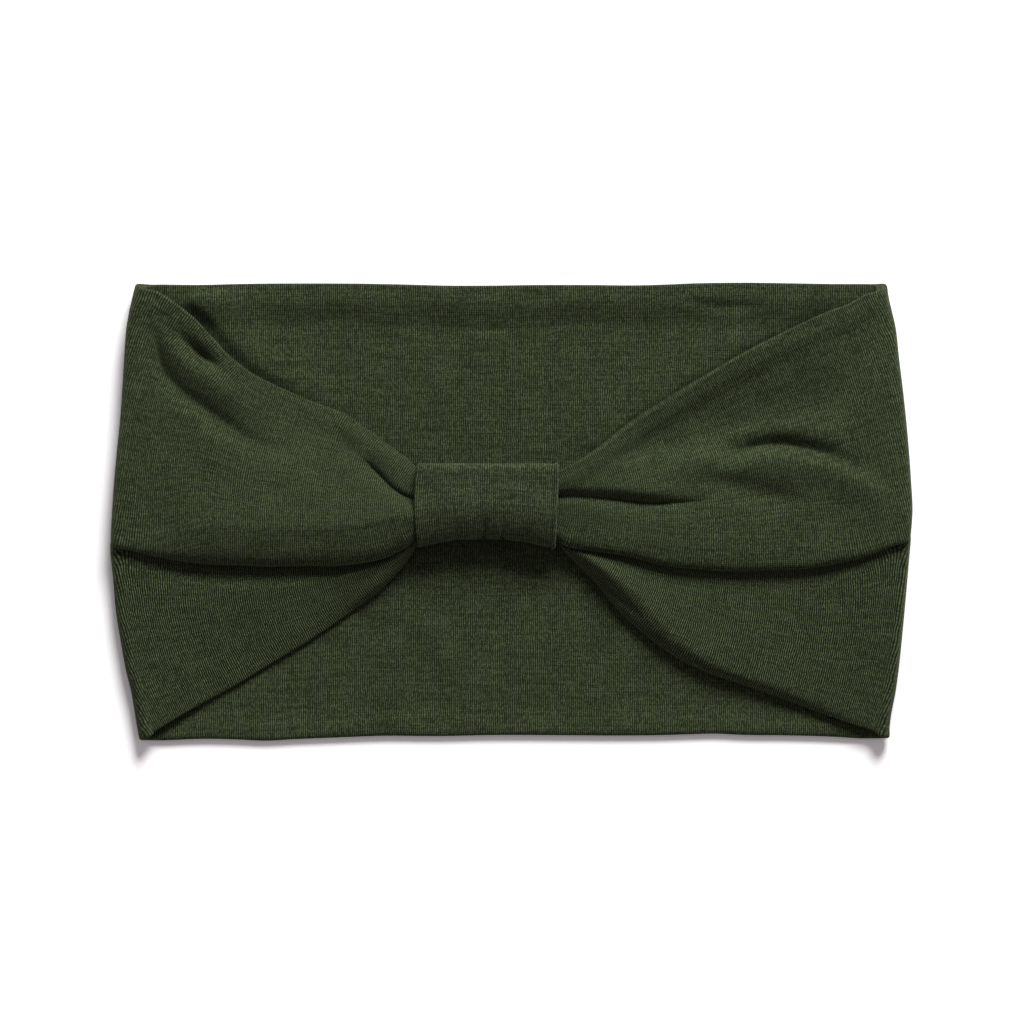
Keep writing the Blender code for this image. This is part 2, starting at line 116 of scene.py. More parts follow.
# signed distance to a drawn line, left of its travel positive, and the share of its length passed
def lineField(x, y, points):
    drawn = np.array(points, float)
    count = lineSteps * (len(drawn) - 1) + 1
    knots = np.arange(len(drawn), dtype=float)
    at = np.linspace(0.0, knots[-1], count)
    lineX, lineY = (curveThrough(np.stack([knots, row], 1), at) for row in drawn.T)
    steps = np.hypot(np.diff(lineX), np.diff(lineY))
    passed = np.concatenate([[0.0], np.cumsum(steps)]) / steps.sum()
    nearest = np.full(x.shape, np.inf)
    signed = np.zeros(x.shape)
    share = np.zeros(x.shape)
    for i in range(count - 1):
        dx, dy = lineX[i + 1] - lineX[i], lineY[i + 1] - lineY[i]
        t = np.clip(((x - lineX[i]) * dx + (y - lineY[i]) * dy) / (dx * dx + dy * dy), 0.0, 1.0)
        px, py = x - lineX[i] - t * dx, y - lineY[i] - t * dy
        far = px * px + py * py
        closer = far < nearest
        nearest = np.where(closer, far, nearest)
        signed = np.where(closer, np.sign(dx * py - dy * px) * np.sqrt(far), signed)
        share = np.where(closer, mix(passed[i], passed[i + 1], t), share)
    return signed, share


# sum of soft folds, lift * rise along the line * exp(-|distance / width|^sharp); each is (lift, sharp,
# widths left and right of the line, shares of it to fade in and out over, the line's points)
def foldField(x, y, folds):
    total = np.zeros(x.shape)
    for lift, sharp, (left, right), (fadeIn, fadeOut), line in folds:
        signed, share = lineField(x, y, line)
        width = np.where(signed > 0, left, right)
        along = ease(0.0, fadeIn, share) if fadeIn else 1.0
        along = along * (ease(0.0, fadeOut, 1.0 - share) if fadeOut else 1.0)
        total += lift * along * np.exp(-np.abs(signed / width) ** sharp)
    return total


# three crossed sine waves of unlike length, the first one swaying
def restlessness(x, y, lift):
    along, across, phase = restValues["crossed"]
    swayBy, swayLength = restValues["sway"]
    waves = np.sin(x / along + swayBy * np.sin(y / swayLength)) * np.sin(y / across + phase)
    share, along, across, phase = restValues["slanted"]
    waves = waves + share * np.sin(x / along - y / across + phase)
    share, along, across = restValues["fine"]
    return lift * (waves + share * np.sin(x / along + y / across))


# quads between the neighbours in a grid, the last column joined to the first
def loopQuads(rows, columns):
    index = np.arange(rows * columns).reshape(rows, columns)
    ahead = np.roll(index, -1, axis=1)
    return np.stack([index[:-1], ahead[:-1], ahead[1:], index[1:]], -1).reshape(-1, 4)


# quads to an object, turned round if the volume inside is negative
def meshPiece(name, points, quads, uv, uvQuads):
    flat = points.reshape(-1, 3) * mm
    corners = flat[quads]
    volume = np.einsum("ij,ij->i", corners[:, 0], np.cross(corners[:, 1], corners[:, 2])).sum()
    volume += np.einsum("ij,ij->i", corners[:, 0], np.cross(corners[:, 2], corners[:, 3])).sum()
    if volume < 0:
        quads, uvQuads = quads[:, ::-1], uvQuads[:, ::-1]
    mesh = bpy.data.meshes.new(name)
    mesh.from_pydata(flat, [], quads)
    layer = mesh.uv_layers.new(name="cloth")
    cloth = (uv.reshape(-1, 2) * mm)[uvQuads.ravel()]
    layer.data.foreach_set("uv", cloth.astype(np.float32).ravel())
    mesh.shade_smooth()
    piece = bpy.data.objects.new(name, mesh)
    bpy.context.scene.collection.objects.link(piece)
    print(name, len(mesh.polygons), "faces")
    return piece


# grid of points to a tube of quads, the first and last row covered by strips across the loop
def loopMesh(name, points, uv):
    rows, columns = points.shape[:2]
    near = np.arange(columns // 2 - 1)
    far = columns - 1 - near
    strip = np.stack([near, far, far - 1, near + 1], -1)
    quads = np.concatenate([loopQuads(rows, columns), strip, strip[:, ::-1] + (rows - 1) * columns])
    return meshPiece(name, points, quads, uv, quads)


# closed skin round a middle surface: down the outer face, round the bottom fold, up the lining, over the
# two turned plies of the top edge with the seam's groove between them
def skinOf(middle, outward, halfThick, uv, liningStep, outerLift=None):
    values = clothValues
    upper = middle + outward * halfThick[..., None]
    if outerLift is not None:
        upper = upper + outward * outerLift[..., None]
    lower = (middle - outward * halfThick[..., None])[:, ::-1][:, ::liningStep]
    lowerUv = uv[:, ::-1][:, ::liningStep]
    down = unit(middle[:, -1] - middle[:, -2])
    turn = np.radians(values["foldTurn"])
    bottomOut = halfThick[:, -1, None] * np.cos(turn)
    bottomRise = halfThick[:, -1, None] * np.sin(turn)
    bottom = middle[:, -1, None] + down[:, None] * bottomOut[..., None]
    bottom = bottom + outward[:, -1, None] * bottomRise[..., None]
    bottomUv = uv[:, -1, None] + np.stack([np.zeros_like(bottomOut), bottomOut + values["uvMargin"]], -1)
    up = unit(middle[:, 0] - middle[:, 1])
    nose, noseTurn = values["noseRadius"], np.radians(values["noseTurn"])
    noseOut = nose * np.cos(noseTurn)
    noseRise = (halfThick[0, 0] - nose) + nose * np.sin(noseTurn)
    edgeOut = np.concatenate([noseOut, [-values["seamGroove"]], noseOut[::-1]])
    edgeRise = np.concatenate([-noseRise[::-1], [0.0], noseRise])
    top = middle[:, 0, None] + up[:, None] * edgeOut[:, None] + outward[:, 0, None] * edgeRise[:, None]
    edgeUv = np.stack([np.zeros_like(edgeOut), np.maximum(edgeOut, 0.0) + values["uvMargin"]], -1)
    points = np.concatenate([upper, bottom, lower, top], axis=1)
    return points, np.concatenate([uv, bottomUv, lowerUv, uv[:, 0, None] - edgeUv], axis=1)


# half thickness across the band: full over the turned seam, tapering to the plain doubled cloth
def hemThickness(fromTop, hem, taper):
    return mix(clothValues["hemHalf"], clothValues["halfThick"], ease(hem, hem + taper, fromTop))


# half thickness of the back: the hem at the top, and the unpressed fold at the bottom
def backThickness(y):
    values = clothValues
    swell = values["foldPuff"] * ease(values["foldPuffWide"], 0.0, values["edgeY"] + y)
    return hemThickness(values["edgeY"] - y, values["backHem"], values["backTaper"]) + swell


# The back's edges aren't quite straight: (x, how far the bottom edge lies up or the top edge down)
backEdges = {
    "low": [(-100, 0.5), (-88, 0.95), (-78, 0.72), (-70.6, 0.42), (-63.4, 0.8), (-49, 1.38),
            (-38, 1.8), (-20.5, 1.74), (-6, 2.02), (15, 1.98), (30, 1.9), (44, 2.04), (51, 2.26),
            (58, 2.44), (65.4, 2.12), (80, 1.92), (87, 1.76), (94, 1.46), (100, 1.05)],
    "top": [(-100, 0.45), (-90, 0.57), (-78, 0.29), (-56, 0.14), (-40, 0.25), (-28, 0.52), (-20, 0.74),
            (-6, 0.76), (8, 0.57), (22, 0.59), (36.8, 0.66), (44, 0.45), (51, 0.15), (70, -0.06),
            (80, 0.09), (94, 0.3), (100, 0.3)],
}


# moves y by the nearer edge's amount, less and less towards the other edge
def edgeShift(x, y):
    share = 0.5 + 0.5 * y / clothValues["edgeY"]
    return mix(curveThrough(backEdges["low"], x), -curveThrough(backEdges["top"], x), share)


# running mean over the columns, the end columns repeated
def spreadOut(field, reach):
    first, last = np.repeat(field[:, :1], reach + 1, axis=1), np.repeat(field[:, -1:], reach, axis=1)
    total = np.cumsum(np.concatenate([first, field, last], axis=1), axis=1)
    return (total[:, 2 * reach + 1 :] - total[:, : -2 * reach - 1]) / (2 * reach + 1)


# How the pattern is laid on a pleated half
uvValues = {
    "smooth": 20,  # columns each side that the cloth's direction is evened over
    "shortest": 0.05,  # steps count as at least this long
    "weights": (0.2, 8.0),  # least and most that a step counts
    "rounds": 700,  # of conjugate gradients
}


# cloth coordinates: v is the place across the strip; u is the length along the rows of stitches, by least
# squares: a step along a column adds its length, a step across only the part of it that points along
def clothUv(middle, across, startU, side, looseness, flaps):
    shortest, weights = uvValues["shortest"], uvValues["weights"]
    along = unit(np.gradient(middle, axis=0))
    for first, last in flaps:
        along[:, first:last] = unit(spreadOut(along[:, first:last], uvValues["smooth"]))
    stepDown, stepAcross = np.diff(middle, axis=0), np.diff(middle, axis=1)
    lengthDown, lengthAcross = np.linalg.norm(stepDown, axis=-1), np.linalg.norm(stepAcross, axis=-1)
    wishAcross = (0.5 * (along[:, 1:] + along[:, :-1]) * stepAcross).sum(-1)
    spread = np.concatenate([lengthAcross[:, :1], lengthAcross], axis=1)
    weightDown = np.clip(spread[1:] / np.maximum(lengthDown, shortest), *weights)
    weightAcross = looseness * np.clip(lengthDown.mean() / np.maximum(lengthAcross, shortest), *weights)

    def gather(down, over):
        total = np.zeros(middle.shape[:2])
        total[1:] += down
        total[:-1] -= down
        total[:, 1:] += over
        total[:, :-1] -= over
        total[0] = 0.0
        return total

    def apply(u):
        return gather(weightDown * np.diff(u, axis=0), weightAcross * np.diff(u, axis=1))

    diagonal = np.ones(middle.shape[:2])
    diagonal[1:] += weightDown
    diagonal[:-1] += weightDown
    diagonal[:, 1:] += weightAcross
    diagonal[:, :-1] += weightAcross
    u = np.concatenate([np.zeros((1, middle.shape[1])), np.cumsum(lengthDown, axis=0)])
    u = 0.5 * u + 0.5 * u.mean(axis=1, keepdims=True)
    u[0] = 0.0
    rest = gather(weightDown * lengthDown, weightAcross * wishAcross) - apply(u)
    guess = rest / diagonal
    step, product = guess, (rest * guess).sum()
    for _ in range(uvValues["rounds"]):
        pushed = apply(step)
        size = product / (step * pushed).sum()
        u = u + size * step
        rest = rest - size * pushed
        guess = rest / diagonal
        newProduct = (rest * guess).sum()
        step = guess + newProduct / product * step
        product = newProduct
    return np.stack([startU + side * u, across], -1)


# The two pleated front halves, each with its side fold and the strip of the back that carries it.
# Lines are drawn in millimetres as seen from above: outline is (height, reach), the edges are (x, y).
leftHalf = {
    "name": "bandLeft",
    "side": -1,
    "wrapX": -27.9,
    "joinX": -7.7,
    "outline": [(-65.4, 106.2), (-60.3, 107.1), (-55.4, 107.9), (-51, 108.7), (-45.4, 110.15),
                (-36.8, 111.8), (-28.2, 113.25), (-19.6, 114.05), (-9.6, 114.95), (0.4, 114.55),
                (17.6, 113.2), (26.2, 112.3), (43.4, 111.15), (54.8, 110.3), (57.7, 109.9),
                (60, 109.2), (64.5, 108)],
    "topEdge": [(-112, 66.2), (-107, 64.9), (-104, 63.8), (-100, 61.6), (-97.4, 59.9), (-93, 56.5),
                (-90.3, 54.2), (-87.4, 51), (-85, 48.3), (-82, 45), (-76.5, 40.1), (-70.6, 36.7),
                (-63.4, 33.4), (-57.7, 31), (-53.4, 29.4), (-48.2, 27.2), (-44.8, 24.9), (-39.6, 21.2),
                (-33.6, 16.5), (-30.5, 14.3), (-27, 12.2), (-20, 11.2)],
    "pleat": [(-115, -9.2), (-110, -10.1), (-104, -11.7), (-90.6, -14), (-77.8, -14.7), (-69.2, -15),
              (-60, -14.8), (-50.5, -14.8), (-43.6, -14.1), (-36.9, -12.7), (-28.2, -8.8), (-22, -7.4)],
    "bottomEdge": [(-112, -66.2), (-106, -64.3), (-102, -61.9), (-90.8, -55.3), (-79, -48.9),
                   (-67.5, -41.9), (-56.1, -34.9), (-44.9, -27), (-39.1, -22.8), (-34.2, -18.1),
                   (-28.4, -11.9), (-22, -8.9)],
    "openBy": 0.30,  # share of the way to the wrap where the pleat stands fully open
    "topDown": (0.25, 0.55),  # where the top edge comes down towards the back
    "topLevel": 3.2,
    "lobeBend": 1.15,  # 1: the flap climbs evenly to its crest; more: first steeply
    "crest": 12.7,
    "rollWide": 10.5,  # how far back from the pleat's fold the flap starts to slope down
    "facet": 0.45,  # share of that drop taken by the even slope, the rest by the fold itself
    "foldLift": 0.5,
    "hem": 2.5,
    "hemTaper": 9.0,
    "underLevel": 4.3,
    "cornerLevel": 4.3,  # the lower flap's edge comes down to this at the corner
    # the lower flap swells by this at its ridge, then falls: straight at 1, as a quarter ellipse at 2
    "underRise": [(-115, 1.6), (-62, 1.6), (-45, 1.5), (-28, 1.4)],
    "underRound": 1.1,
    "underRidge": [(-115, -22), (-90, -22), (-69, -21.5), (-50, -19), (-39, -15.6), (-28, -9.6)],
    "lowEdge": 2.3,
    "folds": [
        (-4.0, 2.0, (3.0, 2.4), (0.7, 0.4),
         [(-101, 55), (-95.4, 50), (-89.8, 45.2), (-85.2, 42), (-80.6, 39.6)]),
        (-1.4, 2.0, (1.5, 2.2), (0.3, 0.4), [(-109, 60.4), (-103, 58), (-96, 54.8)]),
        (1.7, 2.0, (3.2, 3.4), (0.2, 0.5),
         [(-101, 56), (-97.5, 49.5), (-91, 42), (-82, 35), (-70, 28), (-60, 24)]),
        (-2.2, 2.0, (2.6, 3.2), (0.15, 0.45),
         [(-104, 58.6), (-103.6, 53), (-102.5, 47.2), (-100.4, 41.4), (-96.6, 36.4), (-91.6, 32.2),
          (-86.2, 28.2), (-81, 24.4), (-76, 21), (-68, 17.6), (-58, 15.6)]),
        (0.8, 2.0, (2.4, 3.6), (0.5, 0.0),
         [(-48, 25), (-43.9, 22.4), (-36, 16.4), (-28.1, 10.4), (-20, 8.4)]),
        (-2.8, 1.5, (1.15, 1.8), (0.3, 0.0),
         [(-44.4, 16.8), (-41, 13.6), (-37, 9.7), (-33.8, 6.5), (-29, 3.9), (-20, 2.2)]),
        (-1.3, 2.0, (2.6, 2.2), (0.5, 0.5), [(-48.5, 25), (-47.5, 19), (-47.5, 12)]),
        (0.7, 2.0, (5.0, 6.0), (0.5, 0.5), [(-75, 15), (-62, 11), (-48, 9)]),
    ],
    "underFolds": [
        (1.5, 2.0, (2.6, 1.4), (0.5, 0.0),
         [(-52, -30.4), (-40, -21.6), (-34, -16.4), (-29, -11.6), (-22, -8.1)]),
    ],
}
rightHalf = {
    "name": "bandRight",
    "side": 1,
    "wrapX": 13.5,
    "joinX": -6.7,
    "outline": [(-65, 107.8), (-62, 107.7), (-58.3, 108.05), (-51, 109.5), (-45.4, 110.35),
                (-36.8, 111.35), (-19.6, 113.05), (-9.6, 113.95), (-5.3, 114.35), (0.4, 114.75),
                (9, 114.35), (17.6, 113.75), (34.8, 112.05), (43.4, 111), (54.8, 109.7), (57.7, 109.2),
                (61, 108.05), (64.5, 107.5)],
    "topEdge": [(6, 11.2), (13, 11.6), (16.8, 12.8), (23.4, 16.8), (34.4, 25.2), (44, 31.5),
                (54, 37.6), (66.9, 45.2), (79.8, 51.8), (90.7, 56.8), (97.4, 59.4), (101, 61.6),
                (104, 63.6), (107, 65), (112, 66.4)],
    "pleat": [(8, -7.6), (13.9, -9.1), (20, -10.1), (31, -11.8), (45.4, -15), (54, -15.9), (64, -16.4),
              (75, -16.1), (85.5, -15.5), (93, -14.2), (100, -12.5), (107, -9.8), (111, -8.2), (115, -7)],
    "bottomEdge": [(8, -8.4), (13, -9.4), (16, -11.6), (18.6, -14.1), (24.6, -20.3), (31.8, -28.8),
                   (39, -35.1), (46.1, -40.4), (54, -44.6), (64, -48.2), (75, -52.1), (88.4, -56.9),
                   (98, -60.3), (104.1, -62.4), (108, -64.8), (112, -66.2)],
    "openBy": 0.34,
    "topDown": (0.05, 0.5),
    "topLevel": 7.6,
    "lobeBend": 1.0,
    "crest": 8.5,
    "rollWide": 5.5,
    "facet": 0.3,
    "foldLift": 0.0,
    "hem": 3.5,
    "hemTaper": 6.0,
    "underLevel": 4.0,
    "cornerLevel": 4.3,
    "underRise": [(8, 1.2), (16, 1.4), (21, 1.9), (25, 2.6), (29, 3.1), (37, 3.1), (46, 2.9),
                  (57, 2.3), (71, 1.4), (115, 0.6)],
    "underRound": 1.6,
    "underRidge": [(8, -8.6), (14, -10), (21, -12.6), (28.2, -17.4), (35.4, -23.4), (42.5, -31.4),
                   (49.7, -37.8), (56.9, -42.6), (64, -45.9), (71.2, -48.7), (88, -55.2), (104, -61),
                   (115, -63.6)],
    "lowEdge": 2.35,
    "folds": [
        (-1.7, 1.5, (0.9, 1.4), (0.0, 0.5),
         [(6, 5.2), (13.9, 5), (27.5, 4), (39.7, 2.7), (48.3, 2.8), (60, 3.4)]),
        (-1.9, 1.5, (1.2, 2.2), (0.5, 0.5), [(13.9, 5), (27.5, 4), (39.7, 2.7), (48.3, 2.8), (60, 3.4)]),
        (-0.45, 2.0, (0.8, 1.2), (0.4, 0.4), [(24, 2), (32, 0.9), (42, -0.2), (54, -0.8)]),
        (0.8, 2.0, (3.5, 1.2), (0.0, 0.4), [(6, 7.6), (13.9, 7.6), (27.5, 7.2), (39.7, 6), (54, 6)]),
        (1.6, 2.0, (2.4, 6.0), (0.2, 0.04),
         [(20, 10.4), (38.2, 13.6), (59.7, 15), (76, 15.2), (90, 12.2), (103, 7), (112, 2.4)]),
        (-4.8, 2.0, (3.0, 2.2), (0.3, 0.6),
         [(55, 13.4), (63, 16), (70.5, 18.5), (78, 19.2), (87, 17.6), (96, 14.4), (105, 10.4)]),
        (-1.6, 2.0, (3.6, 4.5), (0.35, 0.35), [(46, 12.4), (56, 9.8), (66, 6.8), (77, 4), (90, 0.8)]),
        (-4.0, 2.0, (12.0, 7.0), (0.3, 0.3), [(20, 9), (36, 16.4), (56, 23.6), (80, 29.6), (104, 34)]),
    ],
    "underFolds": [
        (0.9, 2.0, (2.6, 2.2), (0.5, 0.7),
         [(8, -9), (15, -10.4), (21, -12.8), (28.2, -17.4), (35.4, -22.6), (46, -30)]),
        (-1.7, 2.0, (1.0, 1.6), (0.6, 0.5),
         [(14, -10.6), (20.3, -13.8), (26.8, -20), (32.5, -25.3), (36, -28.8), (40, -33)]),
    ],
}

# Shared by both halves: points across each part of the pleat, and rows along
pleatCounts = {"lobe": 96, "roll": 40, "back": 7, "turn": 7, "hidden": 7, "under": 56}
rowCounts = {"strip": 6, "arc": 36, "front": 190, "neck": 26}
pleatValues = {
    "neckFrom": (0.55, 0.95),  # over this share of the way to the wrap the layers rise to the knot,
    "neckTop": 3.2,  # by this: top edge, crest, lower flap, its edge
    "neckCrest": 1.2,
    "neckUnder": 0.6,
    "neckLow": 0.3,
    "pressedRoll": 1.7,  # width of the roll and depth of the return where the pleat is pressed flat
    "pressedDepth": 1.8,
    "mostRoll": 0.36,  # the roll takes at most this share of the flap
    "keepFlap": 13.0,  # and the return leaves this much of it single
    "returnRoom": 1.45,  # from the layer below up to the return, and from there up to the pleat's fold
    "foldRoom": 0.75,
    "innerRoll": 0.8,
    "rollSquare": (2.0, 6.0),  # pressed and open: 2 is a quarter ellipse, more is squarer
    "ridgeShare": (0.2, 0.92),  # the lower flap's ridge stays within these shares of its width
    "riseBend": 1.2,
    "pressBend": 1.5,
}
sideValues = {
    "guess": 109.0,  # the front leaves the side fold about here, and this many rounds correct it
    "rounds": 6,
    "crowd": 1.05,  # above 1 the front's rows lie closer at the side
    "calm": 0.08,  # the folds begin over this share of the front, and of the lower flap
    "calmUnder": 0.12,
    "mouth": (-3.0, 5.0),  # from outside the wrap's end to inside it the layers draw together
    "smoothRows": 16,  # rows each side of the side fold's end that are evened out, this many times
    "smoothRounds": 12,
    "liningStep": 2,  # the lining has every second column
}
knotRoom = {"y": (3.2, 8.4), "z": (8.35, 4.3)}  # middle of the room inside the wrap, and half its size


# shrinks each row towards the middle until it fits the room
def drawnIn(place, deep, middle, half):
    far = np.abs(place - middle).max(axis=1, keepdims=True)
    return middle + (place - middle) * mix(1.0, np.minimum(1.0, half / far), deep)


# One half. Across: the flap from its top edge to the pleat, a quarter ellipse down to the pleat's fold, the
# hidden return, its tight turn, the layer below it and the lower flap; pressed flat at the side, opening to
# the wrap. Along: the back strip, half a rounded square round the side fold, the front, the gathered end.
def frontHalf(half):
    values, shared, counts = clothValues, pleatValues, pleatCounts
    side = half["side"]
    lobe = np.linspace(0.0, 1.0, counts["lobe"])
    roll, turn = (np.linspace(0.0, math.pi, counts[part] + 1)[1:] for part in ("roll", "turn"))
    back, hidden, under = (
        np.linspace(0.0, 1.0, counts[part] + 1)[1:] for part in ("back", "hidden", "under"))
    ends = np.cumsum(list(counts.values()))
    lobeEnd, rollEnd, hiddenEnd, columns = ends[[0, 1, 4, 5]]
    cut = dict(zip(counts, np.split(np.arange(columns), ends[:-1])))

    def section(x, progress):
        top, pleat, low = (curveThrough(half[line], x) for line in ("topEdge", "pleat", "bottomEdge"))
        lobeSpan, underSpan = top - pleat, pleat - low
        opened = ease(0.0, half["openBy"], progress)
        neck = ease(*shared["neckFrom"], progress)
        rollWide = mix(shared["pressedRoll"], half["rollWide"], opened)
        rollWide = np.minimum(rollWide, shared["mostRoll"] * lobeSpan)
        spare = (2 * values["edgeY"] - (top - low)) / 2
        openDepth = np.minimum(spare, lobeSpan - shared["keepFlap"])
        depth = np.maximum(mix(shared["pressedDepth"], openDepth, opened), shared["pressedDepth"])
        crest = mix(values["frontLevel"], half["crest"], opened) + shared["neckCrest"] * neck
        sideUnder = values["frontLevel"] - values["pleatDrop"]
        openUnder = half["underLevel"] + shared["neckUnder"] * neck
        underLevel = mix(sideUnder, openUnder, opened)
        returnLevel = underLevel + shared["returnRoom"]
        foldLevel = returnLevel + shared["foldRoom"] + half["foldLift"] * opened
        openTop = half["topLevel"] + shared["neckTop"] * neck
        topLevel = mix(values["frontLevel"], openTop, ease(*half["topDown"], progress))
        y, z = np.empty(x.shape), np.empty(x.shape)
        part = cut["lobe"]
        y[:, part] = mix(top[:, part], (pleat + rollWide)[:, part], lobe)
        z[:, part] = mix(topLevel[:, part], crest[:, part], 1.0 - (1.0 - lobe) ** half["lobeBend"])
        part = cut["roll"]
        outer, out = roll < math.pi / 2, np.sin(roll)
        square = mix(*shared["rollSquare"], opened[:, part])
        sloped = (1.0 - half["facet"] * opened[:, part] * out) * (1.0 - out**square) ** 0.5
        y[:, part] = pleat[:, part] + np.where(outer, rollWide[:, part], shared["innerRoll"]) * (1.0 - out)
        z[:, part] = foldLevel[:, part] + np.where(
            outer, (crest - foldLevel)[:, part] * sloped, (foldLevel - returnLevel)[:, part] * np.cos(roll))
        part = cut["back"]
        y[:, part] = pleat[:, part] + mix(shared["innerRoll"], depth[:, part], back)
        z[:, part] = returnLevel[:, part]
        part = cut["turn"]
        small = (returnLevel - underLevel)[:, part] / 2
        y[:, part] = (pleat + depth)[:, part] + small * np.sin(turn)
        z[:, part] = returnLevel[:, part] - small * (1.0 - np.cos(turn))
        part = cut["hidden"]
        y[:, part] = pleat[:, part] + depth[:, part] * (1.0 - hidden)
        z[:, part] = underLevel[:, part]
        part = cut["under"]
        y[:, part] = mix(pleat[:, part], low[:, part], under)
        ridge = (pleat - curveThrough(half["underRidge"], x))[:, part] / underSpan[:, part]
        ridge = np.clip(ridge, *shared["ridgeShare"])
        swell = openUnder[:, part] + curveThrough(half["underRise"], x[:, part])
        rising = mix(openUnder[:, part], swell, np.minimum(under / ridge, 1.0) ** shared["riseBend"])
        fall = np.clip((under - ridge) / (1.0 - ridge), 0.0, 1.0)
        power = half["underRound"]
        lowLevel = half["lowEdge"] + shared["neckLow"] * neck[:, part]
        falling = mix(lowLevel, swell, (1.0 - fall**power) ** (1.0 / power))
        pressed = mix(sideUnder, half["cornerLevel"], under ** shared["pressBend"])
        z[:, part] = mix(pressed, np.where(under < ridge, rising, falling), opened[:, part])
        return y, z, lobeSpan

    # share of the way from the back's height to the front's, round the side fold
    def turned(angle, corner):
        late = ease(values["lateTurn"] * math.pi, math.pi, angle)
        return mix(ease(0.0, math.pi, angle), late, corner)

    # where the front leaves the side fold, column by column
    radius = (values["frontLevel"] - values["backLevel"]) / 2
    start = np.full((1, columns), side * sideValues["guess"])
    for _ in range(sideValues["rounds"]):
        sideY, sideZ = section(start, np.zeros((1, columns)))[:2]
        sideY, sideDrop = sideY[0], sideZ[0] - values["frontLevel"]
        passed = np.concatenate([[0.0], np.cumsum(np.hypot(np.diff(sideY), np.diff(sideDrop)))])
        strip = values["edgeY"] - 2 * values["edgeY"] * passed / passed[-1]
        stripY = strip + edgeShift(side * values["cutX"], strip)
        backThick = backThickness(strip)
        corner = ease(*values["lateFrom"], np.abs(strip))
        reach = curveThrough(half["outline"], mix(stripY, sideY, turned(math.pi / 2, corner))) - backThick
        leave = reach - radius - 0.5 * sideDrop
        start = (side * leave)[None]

    # back strip and side fold
    rows = []
    for share in np.linspace(0.0, 1.0, rowCounts["strip"], endpoint=False):
        rows.append(np.stack([side * mix(values["cutX"], leave, share), stripY, backThick], -1))
    for angle in np.linspace(0.0, math.pi, rowCounts["arc"], endpoint=False):
        share = ease(0.0, math.pi, angle)
        lift = mix(backThick, values["backLevel"], share)
        wide = radius + sideDrop * share
        tall = (values["frontLevel"] - lift) / 2 * wide / radius
        bend = 2.0 / (values["foldCorner"] if angle > math.pi / 2 else 2.0)
        x = leave + wide * math.sin(angle) ** bend
        fall = math.copysign(abs(math.cos(angle)) ** bend, math.cos(angle))
        z = (values["frontLevel"] + lift) / 2 - tall * fall
        rows.append(np.stack([side * x, mix(stripY, sideY, turned(angle, corner)), z], -1))
    shell = np.stack(rows)
    joint = len(shell)

    # front and neck, each column on its own straight run of x
    share = np.linspace(0.0, 1.0, rowCounts["front"])[:, None] ** sideValues["crowd"]
    inside = np.linspace(0.0, 1.0, rowCounts["neck"] + 1)[1:, None]
    everyColumn = np.ones((1, columns))
    neckX = mix(half["wrapX"], half["joinX"], inside) * everyColumn
    x = np.concatenate([mix(start, half["wrapX"], share), neckX])
    progress = np.concatenate([share, np.ones_like(inside)]) * everyColumn
    y, z, lobeSpan = section(x, progress)
    flap, lower = np.zeros(columns), np.zeros(columns)
    flap[cut["lobe"]] = 1.0
    flap[cut["roll"]] = ease(math.pi / 2, 0.0, roll)
    lower[cut["under"]] = ease(0.0, sideValues["calmUnder"], under)
    front = ease(0.0, sideValues["calm"], progress)
    z = z + front * flap * (foldField(x, y, half["folds"]) + restlessness(x, y, restValues["flap"]))
    z = z + front * lower * (foldField(x, y, half["underFolds"]) + restlessness(x, y, restValues["under"]))
    # in the wrap's mouth and inside it the layers are drawn together
    deep = ease(*sideValues["mouth"], (half["wrapX"] - x) * side)
    y = drawnIn(y, deep, *knotRoom["y"])
    z = drawnIn(z, deep, *knotRoom["z"])
    middle = np.concatenate([shell, np.stack([x, y, z], -1)])
    # means of neighbouring rows take out the kink where the side fold ends, less and less away from it
    near = sideValues["smoothRows"]
    evened = slice(joint - near, joint + near + 1)
    fade = (0.5 + 0.5 * np.cos(np.linspace(-math.pi, math.pi, 2 * near + 1)))[:, None, None]
    for _ in range(sideValues["smoothRounds"]):
        mean = (middle[joint - near - 1 : joint + near] + middle[joint - near + 1 : joint + near + 2]) / 2
        middle[evened] = mix(middle[evened], mean, 0.5 * fade)
    along, acrossStep = np.gradient(middle, axis=0), np.gradient(middle, axis=1)
    outward = unit(np.cross(acrossStep, along) if side < 0 else np.cross(along, acrossStep))

